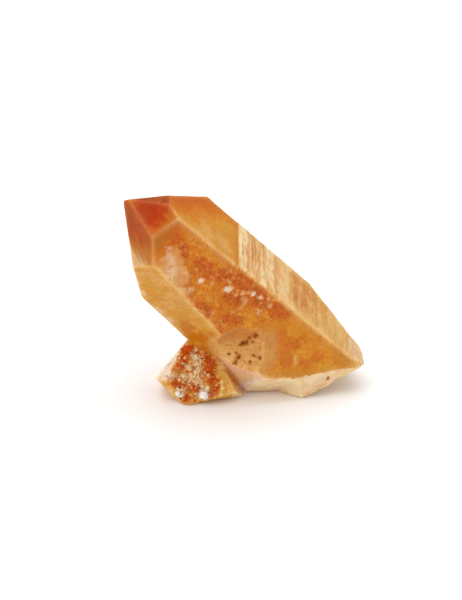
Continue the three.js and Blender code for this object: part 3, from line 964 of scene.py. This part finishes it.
class Nodes:
    """Short names for building a node material."""

    def __init__(self, name):
        self.material = bpy.data.materials.new(name)
        self.material.use_nodes = True
        self.tree = self.material.node_tree
        self.tree.nodes.clear()

    def add(self, kind, inputs=None, **settings):
        """Adds a node, with a link or a constant on each named input."""
        node = self.tree.nodes.new(kind)
        for key, value in settings.items():
            setattr(node, key, value)
        for key, value in (inputs or {}).items():
            self.feed(node.inputs[key], value)
        return node

    def feed(self, socket, value):
        """Gives a socket a link or a constant."""
        if isinstance(value, bpy.types.NodeSocket):
            self.tree.links.new(value, socket)
        else:
            socket.default_value = value

    def times(self, a, b):
        return self.math("MULTIPLY", a, b)

    def math(self, operation, a, b=0.0, c=0.0):
        node = self.add("ShaderNodeMath", {0: a, 1: b, 2: c}, operation=operation)
        return node.outputs[0]

    def attribute(self, name):
        return self.add("ShaderNodeAttribute", attribute_name=name).outputs["Vector"]

    def mix(self, amount, under, over):
        """Lays one colour over another."""
        node = self.add("ShaderNodeMix", {"Factor": amount}, data_type="RGBA")
        for key, value in (("A", under), ("B", over)):
            self.feed([s for s in node.inputs if s.name == key and s.type == "RGBA"][0], value)
        return [s for s in node.outputs if s.type == "RGBA"][0]

    def noise(self, place, scale, detail=3.0, roughness=0.55):
        node = self.add("ShaderNodeTexNoise", {
            "Vector": place, "Scale": scale, "Detail": detail, "Roughness": roughness})
        return node.outputs["Fac"]

    def ramp(self, value, low, high):
        """0 below low and 1 above high."""
        node = self.add("ShaderNodeMapRange", {"Value": value, "From Min": low, "From Max": high},
                        interpolation_type="SMOOTHSTEP")
        return node.outputs["Result"]

    def finish(self, surface, volume=None):
        """Adds the output and gives back the material."""
        out = self.add("ShaderNodeOutputMaterial")
        self.tree.links.new(surface, out.inputs["Surface"])
        if volume is not None:
            self.tree.links.new(volume, out.inputs["Volume"])
        return self.material


def colour(values):
    return (*(float(v) for v in values), 1.0)


def place_in_mm(n):
    """The place on the stone, in millimetres."""
    place = n.add("ShaderNodeTexCoord").outputs["Object"]
    scaled = n.add("ShaderNodeVectorMath", {0: place, "Scale": 1 / MM}, operation="SCALE")
    return scaled.outputs["Vector"]


def direction_value(n, place, direction):
    """How far a place is along a direction."""
    node = n.add("ShaderNodeVectorMath", {0: place, 1: tuple(float(v) for v in direction)},
                 operation="DOT_PRODUCT")
    return node.outputs["Value"]


def streak_place(n, place):
    """A place that changes fast along the point and slowly across it, for growth streaks."""
    along = direction_value(n, place, POINT_AXES[0])
    across = direction_value(n, place, face_across(UPPER_RIGHT))
    bent = n.math("MULTIPLY_ADD", n.noise(place, 0.35, 2.0), 1.8, along)
    slow = n.times(across, 0.07)
    return n.add("ShaderNodeCombineXYZ", {"X": bent, "Y": slow, "Z": 0.0}).outputs[0]


def spotted(n, base, over, value, amount, bar, strength):
    """Lays a colour where a noise value is over a bar, which a larger amount lowers."""
    raised = n.math("MULTIPLY_ADD", amount, 0.3, value)
    some = n.math("MINIMUM", n.times(amount, 6.0), strength)
    cover = n.times(n.ramp(raised, *bar), some)
    return n.mix(cover, base, colour(over))


def stone_shader(n, base, gloss, normal, clear, scatter):
    """Quartz: somewhat clear, with light scattered under its surface."""
    weight, radius, scale = scatter
    node = n.add("ShaderNodeBsdfPrincipled", {
        "Base Color": base, "Roughness": gloss, "IOR": IOR, "Transmission Weight": clear,
        "Specular IOR Level": SHINE, "Subsurface Weight": weight, "Subsurface Radius": radius,
        "Subsurface Scale": scale, "Normal": normal})
    return node.outputs[0]


def mottled(n, place, rust, milk, cloudy, speckle):
    """The painted colour with amber clouds, rusty spots and pale spots."""
    base = n.attribute("tint")
    base = n.mix(n.times(n.ramp(cloudy, 0.4, 0.7), 0.35), base, colour(AMBER))
    base = spotted(n, base, AMBER, n.noise(place, 2.8, 2.0), rust, (0.54, 0.76), 0.6)
    base = spotted(n, base, RUST, speckle, rust, (0.63, 0.8), 0.85)
    base = spotted(n, base, PALE_GOLD, n.noise(place, 1.15, 3.0, 0.65), milk, (0.62, 0.84), 0.6)
    return spotted(n, base, DEEP_RUST, n.noise(place, 2.2, 2.0), rust, (0.8, 0.94), 0.7)


def growth_comb(n, place):
    """Coarse and hair-fine growth streaks, as one value about 0.5."""
    combed = streak_place(n, place)
    coarse = n.times(n.noise(combed, 0.8, 1.0), 0.65)
    hair = n.times(n.noise(combed, 2.5, 2.0), 0.35)
    return n.math("ADD", coarse, hair)


def streaked(n, place, base, comb, streak):
    """Lays growth streaks over a colour: light ones, broken up, and dark ones."""
    fading = n.ramp(n.noise(place, 0.6, 2.0), 0.3, 0.55)
    light = n.times(n.times(n.ramp(comb, 0.5, 0.55), streak), fading)
    base = n.mix(n.times(light, 0.9), base, colour(CREAM))
    for over, bar, strength in DARK_STREAKS:
        dark = n.times(n.ramp(comb, *bar), streak)
        base = n.mix(n.times(dark, strength), base, colour(over))
    return base


def quartz_bump(n, place, speckle, comb, streak):
    """Fine pits all over, and the growth streaks."""
    pits = n.times(n.noise(place, 6.0), 0.3)
    pits = n.math("ADD", n.times(speckle, 0.5), pits)
    height = n.math("ADD", pits, n.times(n.times(comb, streak), 1.2))
    bump = n.add("ShaderNodeBump", {"Height": height, "Strength": 0.35, "Distance": 0.0002})
    return bump.outputs[0]


def quartz_material():
    """The stained stone, from what each point of the skin carries."""
    n = Nodes("stained_quartz")
    place = place_in_mm(n)
    rust, milk, streak = n.add("ShaderNodeSeparateXYZ", {0: n.attribute("marks")}).outputs
    clear, rough, _ = n.add("ShaderNodeSeparateXYZ", {0: n.attribute("finish")}).outputs
    cloudy = n.noise(place, 0.45, 5.0, 0.6)
    speckle = n.noise(place, 1.7, 2.0, 0.7)
    comb = growth_comb(n, place)
    base = mottled(n, place, rust, milk, cloudy, speckle)
    base = streaked(n, place, base, comb, streak)
    gloss = n.math("ADD", rough, n.times(n.math("SUBTRACT", cloudy, 0.5), 0.25))
    normal = quartz_bump(n, place, speckle, comb, streak)
    shader = stone_shader(n, base, gloss, normal, clear, SKIN_SCATTER)
    stain = n.add("ShaderNodeVolumeAbsorption", {"Color": STAIN_COLOUR, "Density": STAIN_DENSITY})
    return n.finish(shader, stain.outputs[0])


def druse_material():
    """The crust's grains, dusted with rust."""
    n = Nodes("druse_points")
    place = place_in_mm(n)
    dust = n.ramp(n.noise(place, 2.2, 3.0), 0.52, 0.66)
    base = n.mix(n.times(dust, 0.5), n.attribute("tint"), colour(RUST))
    gloss = n.math("ADD", 0.25, n.times(n.noise(place, 3.0), 0.25))
    pits = n.noise(place, 9.0, 2.0)
    bump = n.add("ShaderNodeBump", {"Height": pits, "Strength": 0.2, "Distance": 0.0001})
    return n.finish(stone_shader(n, base, gloss, bump.outputs[0], 0.08, DRUSE_SCATTER))


def floor_material():
    """Pale paper, very faintly uneven."""
    n = Nodes("pale_floor")
    place = n.add("ShaderNodeTexCoord").outputs["Object"]
    tone = n.mix(n.noise(place, 3.0), colour(FLOOR_DARK), colour(FLOOR_LIGHT))
    shader = n.add("ShaderNodeBsdfPrincipled", {"Base Color": tone, "Roughness": 0.7})
    return n.finish(shader.outputs[0])


# --- the studio
FLOOR_HALF = 4.0
FLOOR_DARK = (0.93, 0.93, 0.93)
FLOOR_LIGHT = (0.95, 0.95, 0.95)
VIEW_TARGET = Vector((-2.437, 0.924, 16.4)) * MM
VIEW_HEIGHT = 25.0  # degrees above the horizon
VIEW_DISTANCE = 2.0
VIEW_LENS = 666.7  # in the camera's own millimetres, as is the sensor
VIEW_SENSOR = 36
SKY_STRENGTH = 0.75
# Softboxes: name, place, width and watts.
LIGHTS = [("top_light", (-0.1, 0.15, 1.3), 1.4, 10), ("left_light", (-0.9, -0.7, 0.7), 0.7, 3)]


def floor():
    mesh = bpy.data.meshes.new("floor")
    h = FLOOR_HALF
    mesh.from_pydata([(-h, -h, 0), (h, -h, 0), (h, h, 0), (-h, h, 0)], [], [(0, 1, 2, 3)])
    made = add_object("floor", mesh)
    mesh.materials.append(floor_material())


def camera():
    """The photo's view: from the front and a little above, far off with a long lens."""
    data = bpy.data.cameras.new("camera")
    data.lens = VIEW_LENS
    data.sensor_width = VIEW_SENSOR
    data.clip_start, data.clip_end = 0.1, 20
    made = add_object("camera", data)
    rise = math.radians(VIEW_HEIGHT)
    back = Vector((0, -math.cos(rise), math.sin(rise)))
    made.location = VIEW_TARGET + back * VIEW_DISTANCE
    made.rotation_mode = "QUATERNION"
    made.rotation_quaternion = back.to_track_quat("Z", "Y")
    bpy.context.scene.camera = made


def softbox(name, place, size, power):
    """A square white light that faces the stone."""
    data = bpy.data.lights.new(name, "AREA")
    data.shape = "SQUARE"
    data.size = size
    data.energy = power
    made = add_object(name, data)
    made.location = place
    made.rotation_mode = "QUATERNION"
    made.rotation_quaternion = Vector(place).to_track_quat("Z", "Y")
    made.visible_camera = False


def sky():
    world = bpy.data.worlds.new("sky")
    bpy.context.scene.world = world
    world.use_nodes = True
    back = world.node_tree.nodes["Background"]
    back.inputs["Color"].default_value = (1, 1, 1, 1)
    back.inputs["Strength"].default_value = SKY_STRENGTH


def studio():
    """Floor, sky and lights, shown without a film look."""
    bpy.context.scene.view_settings.view_transform = "Standard"
    floor()
    sky()
    for light in LIGHTS:
        softbox(*light)


# --- the scene
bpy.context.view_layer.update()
camera()
studio()
quartz, surface = skin()
quartz.data.materials.append(quartz_material())
crust = druse(surface)
crust.data.materials.append(druse_material())
for piece in (quartz, crust):
    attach(piece, "root")
    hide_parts(CAD_NODE)
